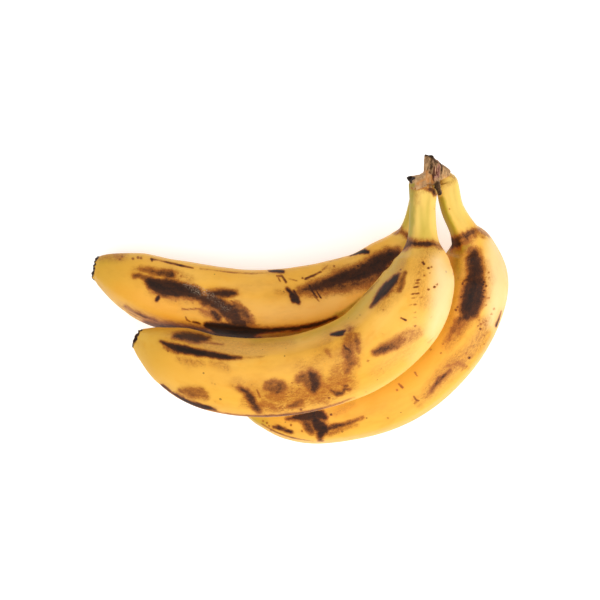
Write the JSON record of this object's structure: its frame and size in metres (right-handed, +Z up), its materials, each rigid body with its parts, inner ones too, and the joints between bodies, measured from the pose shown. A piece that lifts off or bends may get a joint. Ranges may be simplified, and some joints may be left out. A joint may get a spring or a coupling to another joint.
{
  "type": "plantain hand",
  "caption": "Small hand of ripe, bruised plantain fingers joined by a dry brown crown, lying down with one finger on top of the others.",
  "frame": {"origin": "on the plane the hand lies on, under the middle of its overall box", "axes": "+Z up; the longest side of the overall box runs along X, with the crown at the +X, +Y corner and the blossom ends towards -X"},
  "size_m": [0.2242, 0.153, 0.0757],
  "materials": {
    "peel": "soft satin ripe yellow peel with brown-black bruises and specks",
    "crown": "dry, matte and fibrous, tan to purple-brown"
  },
  "bodies": {
    "root": {"finger_front": "peel", "finger_left": "peel", "finger_right": "peel", "crown": "crown"}
  },
  "joints": []
}
